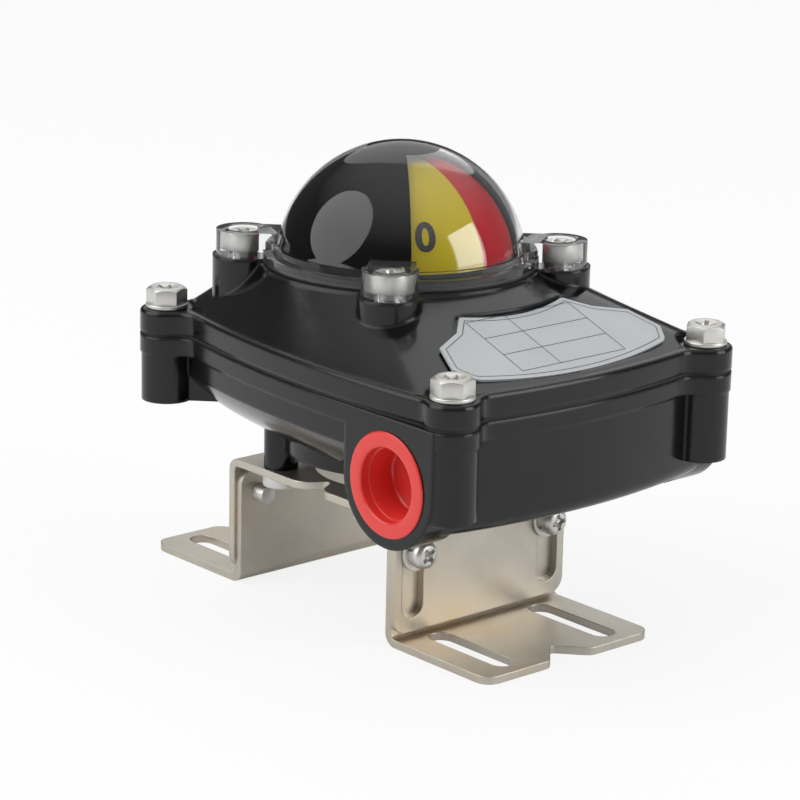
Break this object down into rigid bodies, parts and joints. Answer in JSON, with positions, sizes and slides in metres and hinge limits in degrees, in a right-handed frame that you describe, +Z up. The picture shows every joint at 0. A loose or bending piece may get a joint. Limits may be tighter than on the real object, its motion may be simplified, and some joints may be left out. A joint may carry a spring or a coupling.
{
  "type": "valve limit switch box",
  "caption": "Limit switch box for a valve actuator: bowed housing and cover, domed position indicator on a cam shaft, inner switches, plugged cable entries, slotted height-adjustable feet.",
  "frame": {"origin": "on the indicator shaft's axis, level with the undersides of the feet, at the centre of the slotted mounting pattern", "axes": "+Z up along the shaft towards the indicator dome, +X towards the cable entries and the label, +Y across the box"},
  "size_m": [0.1228, 0.0872, 0.1047],
  "materials": {
    "black_enamel": "gloss",
    "black_gasket": "matt",
    "label_sheet": "satin",
    "warm_steel": "brushed",
    "fastener_steel": "satin",
    "clear_lens": "polished",
    "mask_black": "gloss",
    "panel_yellow": "gloss",
    "panel_red": "gloss",
    "rotor_plastic": "matt",
    "plug_red": "gloss",
    "shaft_steel": "turned",
    "bush_bronze": "turned",
    "cam_red": "matt",
    "cam_yellow": "matt",
    "spring_steel": "wire",
    "frame_aluminium": "satin",
    "switch_black": "satin",
    "button_red": "satin",
    "terminal_grey": "matt",
    "terminal_brass": "satin"
  },
  "bodies": {
    "box": {"lower_housing": "black_enamel", "cover_gasket": "black_gasket", "cover": "black_enamel", "label_plate": "label_sheet", "cover_bolt_washers": "fastener_steel", "cover_bolts": "fastener_steel", "lens_gasket": "black_gasket", "indicator_lens": "clear_lens", "lens_screws": "fastener_steel", "indicator_mask": "mask_black", "shaft_bush": "bush_bronze", "switch_frame": "frame_aluminium", "frame_screws": "fastener_steel", "microswitch_lower": "switch_black", "microswitch_upper": "switch_black", "switch_screws": "fastener_steel", "switch_spacer": "switch_black", "terminal_block": "terminal_grey", "terminal_screws": "terminal_brass", "earth_screw": "terminal_brass", "cable_plug_front": "plug_red", "cable_plug_rear": "plug_red", "bracket_top": "warm_steel", "bracket_top_screws": "fastener_steel"},
    "shaft_and_indicator": {"shaft": "shaft_steel", "shaft_o_ring": "black_gasket", "shaft_circlip": "spring_steel", "cam_lower": "cam_red", "cam_upper": "cam_yellow", "cam_spring": "spring_steel", "indicator_rotor": "rotor_plastic", "indicator_yellow_panels": "panel_yellow", "indicator_red_panels": "panel_red", "indicator_screw": "fastener_steel"},
    "lever_lower": {"switch_lever_lower": "spring_steel"},
    "lever_upper": {"switch_lever_upper": "spring_steel"},
    "plunger_lower": {"switch_plunger_lower": "button_red"},
    "plunger_upper": {"switch_plunger_upper": "button_red"},
    "foot_left": {"bracket_foot_left": "warm_steel", "bracket_screws_left": "fastener_steel", "bracket_flat_washers_left": "fastener_steel", "bracket_spring_washers_left": "fastener_steel"},
    "foot_right": {"bracket_foot_right": "warm_steel", "bracket_screws_right": "fastener_steel", "bracket_flat_washers_right": "fastener_steel", "bracket_spring_washers_right": "fastener_steel"}
  },
  "joints": [
    {"name": "shaft_turn", "type": "hinge", "parent": "box", "child": "shaft_and_indicator", "pos_m": [0, 0, 0.05], "axis": [0, 0, 1], "range_deg": [-41, 49]},
    {"name": "lever_lower_press", "type": "hinge", "parent": "box", "child": "lever_lower", "pos_m": [0.01625, -0.0095, 0.04925], "axis": [0, 0, 1], "range_deg": [-6, 0], "stiffness_Nm_per_rad": 0.002, "springref_deg": 11.46},
    {"name": "lever_upper_press", "type": "hinge", "parent": "box", "child": "lever_upper", "pos_m": [0.01625, -0.0095, 0.06015], "axis": [0, 0, 1], "range_deg": [-6, 0], "stiffness_Nm_per_rad": 0.002, "springref_deg": 11.46},
    {"name": "plunger_lower_travel", "type": "slide", "parent": "box", "child": "plunger_lower", "axis": [1, 0, 0], "range_m": [0, 0.0008]},
    {"name": "plunger_upper_travel", "type": "slide", "parent": "box", "child": "plunger_upper", "axis": [1, 0, 0], "range_m": [0, 0.0008]},
    {"name": "foot_left_height", "type": "slide", "parent": "box", "child": "foot_left", "axis": [0, 0, 1], "range_m": [-0.012, 0]},
    {"name": "foot_right_height", "type": "slide", "parent": "box", "child": "foot_right", "axis": [0, 0, 1], "range_m": [-0.012, 0]}
  ],
  "couplings": [
    {"joint": "plunger_lower_travel", "follows": "lever_lower_press", "m_per_rad": -0.0076},
    {"joint": "plunger_upper_travel", "follows": "lever_upper_press", "m_per_rad": -0.0076},
    {"joint": "foot_right_height", "follows": "foot_left_height", "ratio": 1}
  ]
}
